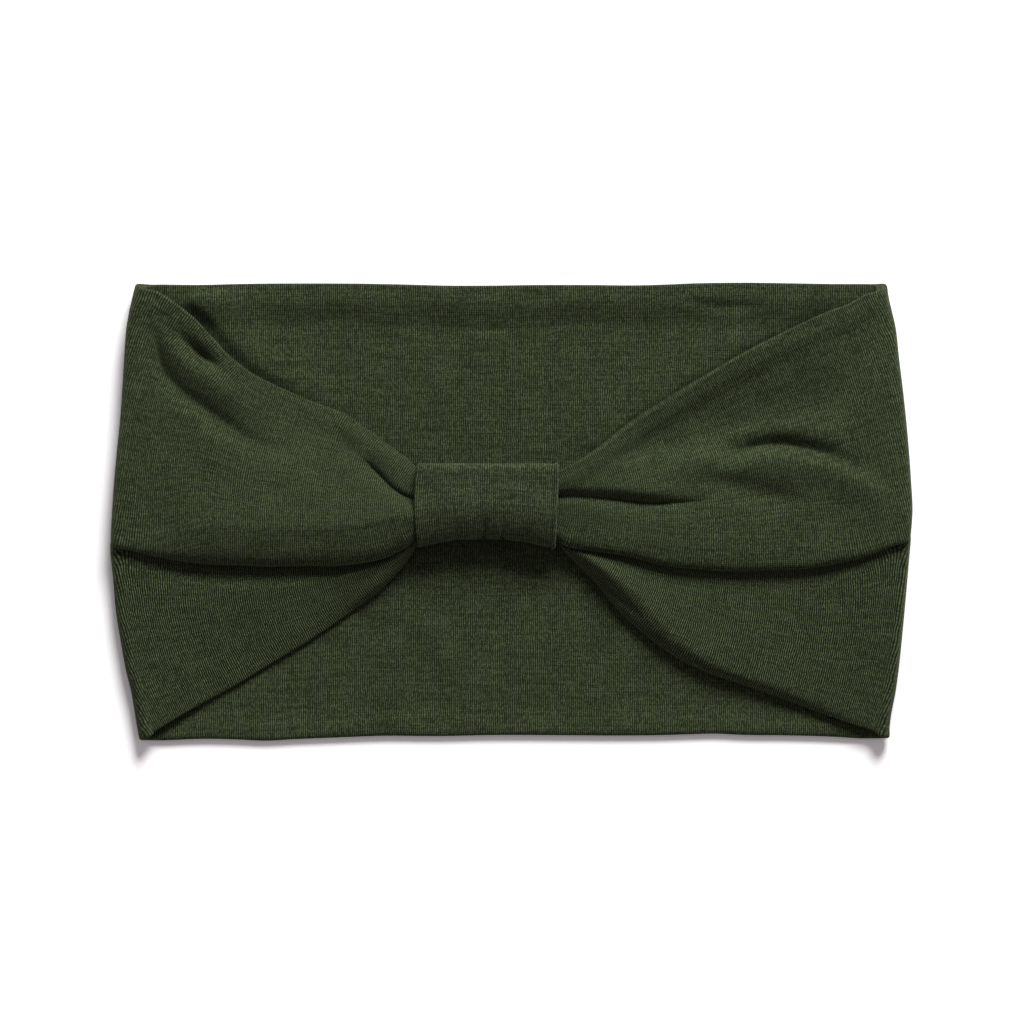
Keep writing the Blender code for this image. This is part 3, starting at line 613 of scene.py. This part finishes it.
    # thickness and the cloth's own coordinate across, from the strip's on the back to the pleated front's
    toFront = ease(0.0, joint, np.arange(len(middle)))[:, None]
    flat = values["edgeY"] - strip
    fromTop = np.full(y.shape, np.inf)
    fromTop[:, cut["lobe"]] = lobe * lobeSpan[:, cut["lobe"]]
    frontThick = hemThickness(fromTop, half["hem"], half["hemTaper"])
    sideThick = np.broadcast_to(frontThick[:1], (joint, columns))
    frontThick = np.concatenate([sideThick, mix(frontThick, values["halfThick"], deep)])
    halfThick = mix(backThick, frontThick, toFront)
    rollSteps = np.linalg.norm(np.diff(middle[:, lobeEnd - 1 : rollEnd], axis=1), axis=-1)
    across = np.broadcast_to(flat, halfThick.shape).copy()
    across[:, cut["roll"]] = flat[lobeEnd - 1] + np.cumsum(rollSteps, axis=1)
    share = np.arange(1, hiddenEnd - rollEnd + 1) / (hiddenEnd - rollEnd)
    across[:, rollEnd:hiddenEnd] = mix(across[:, rollEnd - 1 : rollEnd], flat[hiddenEnd - 1], share)
    across = mix(flat, across, toFront)
    outerEnd = lobeEnd + counts["roll"] // 2
    looseness = np.ones(columns - 1)
    looseness[outerEnd:hiddenEnd] = 0.0
    flaps = ((0, outerEnd), (hiddenEnd, columns))
    uv = clothUv(middle, across, side * values["cutX"], side, looseness, flaps)
    return loopMesh(half["name"], *skinOf(middle, outward, halfThick, uv, sideValues["liningStep"]))


bandLeft = frontHalf(leftHalf)
bandRight = frontHalf(rightHalf)

# The back panel between the two side pieces, lying on the floor
backPanel = {
    "rows": 250,
    "columns": 190,
    "liningStep": 3,
    "calmEnds": 6.0,  # folds grow over these from the ends and edges in
    "calmEdges": 3.0,
    "lift": 0.1,  # the upper ply stands up by this
    "folds": [
        (-0.35, 2.0, (0.9, 1.2), (0.3, 0.3), [(-20, 52.9), (-10, 52.4), (1, 52.9)]),
        (-0.8, 2.0, (1.6, 1.8), (0.3, 0.4), [(47, 61.4), (56, 59.4), (66, 59), (76, 59.6)]),
        (2.1, 2.0, (8.0, 3.0), (0.05, 0.75),
         [(-93.2, 63), (-88.6, 59.2), (-84.6, 55), (-80, 49.6), (-75, 44.3), (-68, 39.8), (-59, 35.2),
          (-50, 31.2), (-42, 26.6)]),
        (0.75, 2.0, (8.0, 1.4), (0.1, 0.25),
         [(17, 14.6), (23.4, 19.2), (34.4, 27.7), (44, 33.9), (54, 40), (66.9, 47.6), (79.8, 54.1),
          (92, 59.6)]),
        (0.5, 2.0, (4.0, 4.0), (0.3, 0.3), [(-35, -19), (-27, -31), (-19, -41), (-11, -50)]),
    ],
}


# Flat strip: x even, y even but for the edges' bow, height from the hem's taper; folds lift the upper face
def backPiece(values):
    end, edge = clothValues["cutX"], clothValues["edgeY"]
    x = np.linspace(end, -end, values["rows"])[:, None] * np.ones((1, values["columns"]))
    across = np.linspace(edge, -edge, values["columns"])[None, :] * np.ones((values["rows"], 1))
    y = across + edgeShift(x, across)
    thick = backThickness(across)
    middle = np.stack([x, y, thick], -1)
    outward = np.broadcast_to(np.array([0.0, 0.0, 1.0]), middle.shape)
    calm = values["calmEdges"]
    inland = ease(0.0, values["calmEnds"], end - np.abs(x))
    inland = inland * ease(0.0, calm, edge + across) * ease(0.0, calm, edge - across)
    unrest = restlessness(x, y, restValues["back"])
    lift = inland * (foldField(x, y, values["folds"]) + unrest + values["lift"])
    uv = np.stack([x, edge - across], -1)
    return loopMesh("bandBack", *skinOf(middle, outward, thick, uv, values["liningStep"], lift))


bandBack = backPiece(backPanel)

# The wrap: a doubled strip round the gathered ends, arched below, with puckers at its lower edge
wrapValues = {
    "centreX": -7.2,
    "length": 41.4,
    "lowY": -10.3,  # lower edge at the left end
    "lowYRight": -10.8,
    "highY": 13.9,
    "lowZ": 1.6,
    "highZ": 15.05,
    "arch": 2.8,  # how far the lower edge draws up in the middle
    "leftBow": 0.9,  # the left end bulges by this halfway up, and its corners draw in by leftIn
    "leftIn": 0.8,
    "rightIn": 1.0,  # the right end draws in by this at its lower corner
    "roundLow": 1.65,  # roundness of the ring's section, lower and upper side
    "roundHigh": 9.0,
    "upperLip": 0.4,  # the face rises by this towards its upper edge, between these y
    "lipY": (8.0, 13.0),
    "lipRise": (0.0, 0.5),  # and between these shares of the section's height
    "thick": 1.3,
    "edgeTurn": (60.0, 30.0, 0.0, -30.0, -60.0),  # steps round each end's fold
    "turnedEdge": ((0.25, 0.8), (-0.35, 1.7)),  # lift and place of the ridge and groove along the right end
    "turnedWide": 0.4,
    # x, depth and width of each; they deepen from the first y and z to the second
    "puckers": [(-7.9, 1.15, 0.65), (-2.6, 0.95, 0.6), (-16.0, 0.3, 2.2), (4.0, 0.25, 2.0)],
    "puckerY": (1.0, -7.5),
    "puckerZ": (3.0, 7.0),
    "puckerLean": 0.08,  # they lean by this, about puckerFoot
    "puckerFoot": -7.0,
    "puckerSpread": 2.4,  # times as wide at their upper end
    "finer": 1.5,  # the unevenness is this much finer than on the band
    "around": 300,
    "across": 150,
    "crowd": 0.04,  # columns lie closer at the ends
    "liningStep": 5,
    "closing": 0.1,  # cloth between the last row and the first
}


# Ring: a rounded section (|y/a|^p + |z/b|^p = 1, p less on its lower side) carried along x, the lower side
# drawn up by a parabola and pressed in at the puckers; across, outer face, round lip, inner face, other lip
def wrapPiece(values):
    halfLength, lip = values["length"] / 2, values["thick"] / 2
    face = np.linspace(-1.0, 1.0, values["across"])
    face = face + values["crowd"] * np.sin(math.pi * face)
    inner = -face[:: values["liningStep"]]
    turn = np.radians(values["edgeTurn"])
    reach, edgeOut, edgeIn = halfLength - lip, lip * np.cos(turn), lip - lip * np.sin(turn)
    place = np.concatenate([face * reach, reach + edgeOut, inner * reach, -reach - edgeOut[::-1]])
    inward = np.concatenate([np.zeros(len(face)), edgeIn, np.full(len(inner), 2 * lip), edgeIn[::-1]])
    outerFace = (inward <= lip).astype(float)
    end = place / halfLength
    pinch = 1.0 - np.minimum(1.0, end**2)
    low = mix(values["lowY"], values["lowYRight"], 0.5 + 0.5 * end) + values["arch"] * pinch
    halfWide = (values["highY"] - low) / 2 - inward
    halfTall = (values["highZ"] - values["lowZ"]) / 2 - inward
    angle = np.linspace(0.0, 2 * math.pi, values["around"], endpoint=False)[:, None]
    sine, cosine = np.sin(angle), np.cos(angle)
    power = np.where(sine < 0, values["roundLow"], values["roundHigh"])
    radial = (np.abs(sine) ** power + np.abs(cosine) ** power) ** (1.0 / power)
    sway, rise = sine / radial, cosine / radial
    leftEdge = values["leftBow"] * (1.0 - sway**2) - values["leftIn"]
    rightEdge = -values["rightIn"] * 0.5 * (1.0 - sway)
    x = values["centreX"] + place + end * np.where(end < 0, leftEdge, rightEdge)
    y = (values["highY"] + low) / 2 + halfWide * sway
    z = (values["highZ"] + values["lowZ"]) / 2 + halfTall * rise
    z = z + values["upperLip"] * ease(*values["lipY"], y) * ease(*values["lipRise"], rise)
    # puckers fade in from the middle of the face to the lower edge
    lowerEdge = ease(*values["puckerY"], y) * ease(*values["puckerZ"], z)
    lean = values["puckerLean"] * (y - values["puckerFoot"])
    spread = mix(values["puckerSpread"], 1.0, lowerEdge)
    press = np.zeros_like(x)
    for at, depth, width in values["puckers"]:
        press += depth * lowerEdge * np.exp(-((x - at - lean) / (width * spread)) ** 2)
    turned = np.zeros_like(place)
    for lift, fromEnd in values["turnedEdge"]:
        turned += lift * np.exp(-((place - halfLength + fromEnd) / values["turnedWide"]) ** 2)
    finer = values["finer"]
    puff = outerFace * (turned - press + restlessness(x * finer, y * finer + z, restValues["wrap"]) * pinch)
    slope = unit(np.stack([sway / halfWide, rise / halfTall], -1))
    points = np.stack([x, y + puff * slope[..., 0], z + puff * slope[..., 1]], -1)
    steps = np.linalg.norm(np.diff(points[:, values["across"] // 2], axis=0), axis=1)
    travel = np.concatenate([[0.0], np.cumsum(steps)])[:, None]
    return points, np.stack(np.broadcast_arrays(place, travel), -1)


# grid closed both ways: rows join round the ring, columns round the strip's own section
def ringMesh(name, points, uv, closing):
    rows, columns = points.shape[:2]
    lastUv = uv[:1] + np.array([0.0, 1.0]) * (uv[-1:, :, 1:] + closing)
    uvQuads = loopQuads(rows + 1, columns)
    return meshPiece(name, points, uvQuads % (rows * columns), np.concatenate([uv, lastUv]), uvQuads)


knotWrap = ringMesh("knotWrap", *wrapPiece(wrapValues), wrapValues["closing"])

# Jersey finish
jerseyValues = {
    "wale": 0.605,  # millimetres between ribs
    "course": 0.50,  # millimetres between rows of stitches
    "waver": (140.0, 2.0, 1.2),  # noise that bends the ribs, broad and fine: scale, detail, ribs
    "tremble": (520.0, 1.0, 0.5),
    "ribPower": 2.0,  # ribs are sin^power; narrower on the lower flaps, which paints deeper shade between them and brighter crowns there
    "ribScale": 2.0,  # 1 / the mean of sin^power
    "deeperShadePower": 5.5,
    "deeperShadeScale": 3.07,
    "deeperShadeAlong": (112.0, 124.0),  # the lower flaps on the cloth: past the side fold, below the pleat
    "deeperShadeAcross": (78.0, 86.0),
    "valley": 0.06,  # brightness left between two ribs
    "yarn": 0.95,  # how far single stitches differ, and whole ribs
    "ribYarn": 0.15,
    "streak": 1.2,
    "streakScale": (70.0, 1500.0, 1.0),
    "streakDetail": 2.0,
    "clouds": (130.0, 3.0, 0.16),  # scale, detail, amount
    "stitchDeep": 0.2,  # how far the height falls between two stitches
    "bump": 0.5,
    "bumpHigh": 0.00025,
    "surface": {"Roughness": 0.9, "Specular IOR Level": 0.12, "Sheen Weight": 0.22, "Sheen Roughness": 0.5,
                "Sheen Tint": (0.45, 0.55, 0.30, 1.0)},
    "bandColours": ((0.0030, 0.0052, 0.0), (0.0648, 0.0836, 0.0408)),  # shadow between the ribs, crown
    # the wrap is the band's jersey made lighter: painted light on the knot
    "wrapColours": ((0.0030, 0.0050, 0.0), (0.0765, 0.0965, 0.0508)),
}
threadValues = {
    "wave": (900.0, 1.0, 1.0),  # scale, distortion, detail
    "dark": (0.024, 0.030, 0.017),
    "light": (0.046, 0.055, 0.032),
    "bump": 0.4,
    "bumpHigh": 0.0001,
    "surface": {"Roughness": 0.6},
}


def addNode(tree, kind, **sockets):
    node = tree.nodes.new(kind)
    for key, value in sockets.items():
        if key.startswith("in"):
            spot = node.inputs[int(key[2:])]
            if isinstance(value, bpy.types.NodeSocket):
                tree.links.new(value, spot)
            else:
                spot.default_value = value
        else:
            setattr(node, key, value)
    return node


def maths(tree, operation, first, second=0.0, third=0.0):
    return addNode(tree, "ShaderNodeMath", operation=operation, in0=first, in1=second, in2=third).outputs[0]


def centred(tree, value):
    return maths(tree, "SUBTRACT", value, 0.5)


def noise(tree, place, scale, detail):
    return addNode(tree, "ShaderNodeTexNoise", noise_dimensions="2D", in0=place, in2=scale,
                   in3=detail).outputs[0]


# 0 below low millimetres of cloth, 1 above high, straight between
def ramp(tree, value, low, high):
    return addNode(tree, "ShaderNodeMapRange", in0=value, in1=low * mm, in2=high * mm).outputs[0]


def colourMix(tree, share, first, second, clamp=True):
    return addNode(tree, "ShaderNodeMix", data_type="RGBA", clamp_factor=clamp, in0=share,
                   in6=(*first, 1.0), in7=(*second, 1.0)).outputs[2]


def newMaterial(name):
    material = bpy.data.materials.new(name)
    material.use_nodes = True
    return material, material.node_tree


def dress(tree, colour, height, values):
    shader = tree.nodes["Principled BSDF"]
    bump = addNode(tree, "ShaderNodeBump")
    bump.inputs["Strength"].default_value = values["bump"]
    bump.inputs["Distance"].default_value = values["bumpHigh"]
    tree.links.new(height, bump.inputs["Height"])
    tree.links.new(bump.outputs[0], shader.inputs["Normal"])
    tree.links.new(colour, shader.inputs["Base Color"])
    for socket, value in values["surface"].items():
        shader.inputs[socket].default_value = value


# Brightness is the product of ribs, valley + (1 - valley) * scale * sin^power(pi u), stitches, each its own
# random shade, streaks, noise drawn out along the rows, and clouds. Half of it is the share of the way from
# the shadow colour to the crown colour. Stitches lean into a V across each rib.
def jerseyMaterial(name, shadow, crown):
    values = jerseyValues
    material, tree = newMaterial(name)
    uv = addNode(tree, "ShaderNodeUVMap", uv_map="cloth").outputs[0]
    u, v = addNode(tree, "ShaderNodeSeparateXYZ", in0=uv).outputs[:2]
    along = maths(tree, "MULTIPLY", u, 1.0 / mm / values["wale"])
    for scale, detail, ribs in (values["waver"], values["tremble"]):
        along = maths(tree, "MULTIPLY_ADD", noise(tree, uv, scale, detail), ribs, along)
    across = maths(tree, "MULTIPLY", v, 1.0 / mm / values["course"])
    ribPlace, ribNumber = maths(tree, "FRACT", along), maths(tree, "FLOOR", along)
    leaned = maths(tree, "ADD", across, maths(tree, "ABSOLUTE", centred(tree, ribPlace)))
    # lower flaps: narrower ribs, painted deeper shade between them and brighter crowns
    beyond = ramp(tree, maths(tree, "ABSOLUTE", u), *values["deeperShadeAlong"])
    deeperShade = maths(tree, "MULTIPLY", beyond, ramp(tree, v, *values["deeperShadeAcross"]))
    power = maths(tree, "MULTIPLY_ADD", deeperShade, values["deeperShadePower"] - values["ribPower"], values["ribPower"])
    scale = maths(tree, "MULTIPLY_ADD", deeperShade, values["deeperShadeScale"] - values["ribScale"], values["ribScale"])
    rib = maths(tree, "POWER", maths(tree, "SINE", maths(tree, "MULTIPLY", ribPlace, math.pi)), power)
    stitch = maths(tree, "SINE", maths(tree, "MULTIPLY", leaned, 2 * math.pi))
    stitch = maths(tree, "MULTIPLY_ADD", stitch, values["stitchDeep"], 1.0 - values["stitchDeep"])
    cell = addNode(tree, "ShaderNodeCombineXYZ", in0=ribNumber, in1=maths(tree, "FLOOR", leaned)).outputs[0]
    grain = addNode(tree, "ShaderNodeTexWhiteNoise", noise_dimensions="2D", in0=cell).outputs[0]
    ribGrain = addNode(tree, "ShaderNodeTexWhiteNoise", noise_dimensions="1D", in1=ribNumber).outputs[0]
    streakPlace = addNode(tree, "ShaderNodeMapping", in0=uv, in3=values["streakScale"]).outputs[0]
    streaks = centred(tree, noise(tree, streakPlace, 1.0, values["streakDetail"]))
    cloudScale, cloudDetail, cloudAmount = values["clouds"]
    clouds = centred(tree, noise(tree, uv, cloudScale, cloudDetail))
    bright = maths(tree, "MULTIPLY", rib, maths(tree, "MULTIPLY", scale, 1.0 - values["valley"]))
    bright = maths(tree, "ADD", bright, values["valley"])
    single = maths(tree, "MULTIPLY_ADD", centred(tree, grain), values["yarn"], 1.0)
    single = maths(tree, "MULTIPLY_ADD", centred(tree, ribGrain), values["ribYarn"], single)
    broad = maths(tree, "MULTIPLY_ADD", clouds, cloudAmount, 1.0)
    broad = maths(tree, "MULTIPLY_ADD", streaks, values["streak"], broad)
    bright = maths(tree, "MULTIPLY", bright, maths(tree, "MULTIPLY", single, broad))
    colour = colourMix(tree, maths(tree, "MULTIPLY", bright, 0.5), shadow, crown, clamp=False)
    dress(tree, colour, maths(tree, "MULTIPLY", rib, stitch), values)
    return material


# Two plies that twist round each other, light and dark by a slanted wave
def threadMaterial(values):
    material, tree = newMaterial("oliveThread")
    place = addNode(tree, "ShaderNodeTexCoord").outputs["Object"]
    scale, distortion, detail = values["wave"]
    wave = addNode(tree, "ShaderNodeTexWave", bands_direction="DIAGONAL", in0=place, in1=scale,
                   in2=distortion, in3=detail).outputs["Fac"]
    dress(tree, colourMix(tree, wave, values["dark"], values["light"]), wave, values)
    return material


jersey = jerseyMaterial("oliveJersey", *jerseyValues["bandColours"])
# the wrap wears a lighter copy of the same jersey: painted light
paintedLightWrapJersey = jerseyMaterial("oliveWrapJersey", *jerseyValues["wrapColours"])
for piece, finish in ((bandLeft, jersey), (bandRight, jersey), (bandBack, jersey), (knotWrap, paintedLightWrapJersey)):
    piece.data.materials.append(finish)
thread = threadMaterial(threadValues)
for node in ("gathering_thread_left", "gathering_thread_right", "end_join_seam", "wrap_seam"):
    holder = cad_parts[node]
    holder.data.materials.clear()
    holder.data.materials.append(thread)
print("jersey and thread on")

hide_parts("back_panel", "back_top_seam")
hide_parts("left_side_fold", "front_left_panel", "front_left_top_seam", "gathered_end_left")
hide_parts("right_side_fold", "front_right_panel", "front_right_top_seam", "gathered_end_right")
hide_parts("knot_wrap")
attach(bandBack, "band")
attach(knotWrap, "knot")
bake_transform(bandLeft)
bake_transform(bandRight)
print("pieces ride on their bodies")

# Pale floor: matt white, brighter to the camera so that it reads as white and keeps a deep shadow; further
# out, where no shadow falls, a glow takes it over into plain white
stageValues = {
    "floorSize": 6.0,
    "floorColour": 0.86,
    "cameraColour": 1.3,
    "floorGlow": 0.055,
    "farGlow": 0.85,
    "nearEnds": 0.2,  # metres from the middle where the glow starts to grow, and where it's full
    "farStarts": 0.6,
}


def makeFloor(values):
    half = values["floorSize"] / 2
    mesh = bpy.data.meshes.new("floor")
    corners = [(-half, -half, 0), (half, -half, 0), (half, half, 0), (-half, half, 0)]
    mesh.from_pydata(corners, [], [(0, 1, 2, 3)])
    floor = bpy.data.objects.new("floor", mesh)
    bpy.context.scene.collection.objects.link(floor)
    material, tree = newMaterial("paleFloor")
    tree.nodes.clear()
    seen = addNode(tree, "ShaderNodeLightPath").outputs["Is Camera Ray"]
    white = addNode(tree, "ShaderNodeMapRange", in0=seen, in3=values["floorColour"],
                    in4=values["cameraColour"])
    place = addNode(tree, "ShaderNodeTexCoord").outputs["Object"]
    away = addNode(tree, "ShaderNodeVectorMath", operation="LENGTH", in0=place).outputs["Value"]
    level = addNode(tree, "ShaderNodeMapRange", in0=away, in1=values["nearEnds"], in2=values["farStarts"],
                    in3=values["floorGlow"], in4=values["farGlow"]).outputs[0]
    diffuse = addNode(tree, "ShaderNodeBsdfDiffuse", in0=white.outputs[0])
    glow = addNode(tree, "ShaderNodeEmission", in1=maths(tree, "MULTIPLY", seen, level))
    both = addNode(tree, "ShaderNodeAddShader", in0=diffuse.outputs[0], in1=glow.outputs[0])
    addNode(tree, "ShaderNodeOutputMaterial", in0=both.outputs[0])
    mesh.materials.append(material)


makeFloor(stageValues)

lightValues = {
    "world": 0.215,
    "worldColour": (1.07, 0.97, 1.0),  # a little warm in the shadows
    "keyPlace": (0.43, 1.62, 1.20),
    "keySize": 0.9,
    "keyPower": 54.0,
}


# disk that looks at the origin
def softLight(name, place, size, power):
    lamp = bpy.data.lights.new(name, "AREA")
    lamp.shape = "DISK"
    lamp.size = size
    lamp.energy = power
    holder = bpy.data.objects.new(name, lamp)
    holder.location = place
    aim = -np.array(place)
    flat = math.hypot(aim[0], aim[1])
    holder.rotation_euler = (math.atan2(flat, -aim[2]), 0.0, math.atan2(aim[1], aim[0]) - math.pi / 2)
    bpy.context.scene.collection.objects.link(holder)


# even light all round, plain white where the camera sees it
def studioWorld(values):
    world = bpy.data.worlds.new("studio")
    world.use_nodes = True
    tree = world.node_tree
    seen = addNode(tree, "ShaderNodeLightPath").outputs["Is Camera Ray"]
    dim = [channel * values["world"] for channel in values["worldColour"]]
    tree.links.new(colourMix(tree, seen, dim, (1.0, 1.0, 1.0)), tree.nodes["Background"].inputs["Color"])
    bpy.context.scene.world = world


softLight("keyLight", lightValues["keyPlace"], lightValues["keySize"], lightValues["keyPower"])
studioWorld(lightValues)

# Straight down: field is the width that the picture shows at the height plane
cameraValues = {"height": 1.8, "field": 0.2933, "plane": 0.006, "sensor": 36.0}
camera = bpy.data.cameras.new("overhead")
camera.sensor_width = cameraValues["sensor"]
away = cameraValues["height"] - cameraValues["plane"]
camera.lens = cameraValues["sensor"] * away / cameraValues["field"]
viewer = bpy.data.objects.new("overhead", camera)
viewer.location = (0.0, 0.0, cameraValues["height"])
bpy.context.scene.collection.objects.link(viewer)
bpy.context.scene.camera = viewer
bpy.context.scene.view_settings.view_transform = "Standard"
print("stage, lights and camera set")
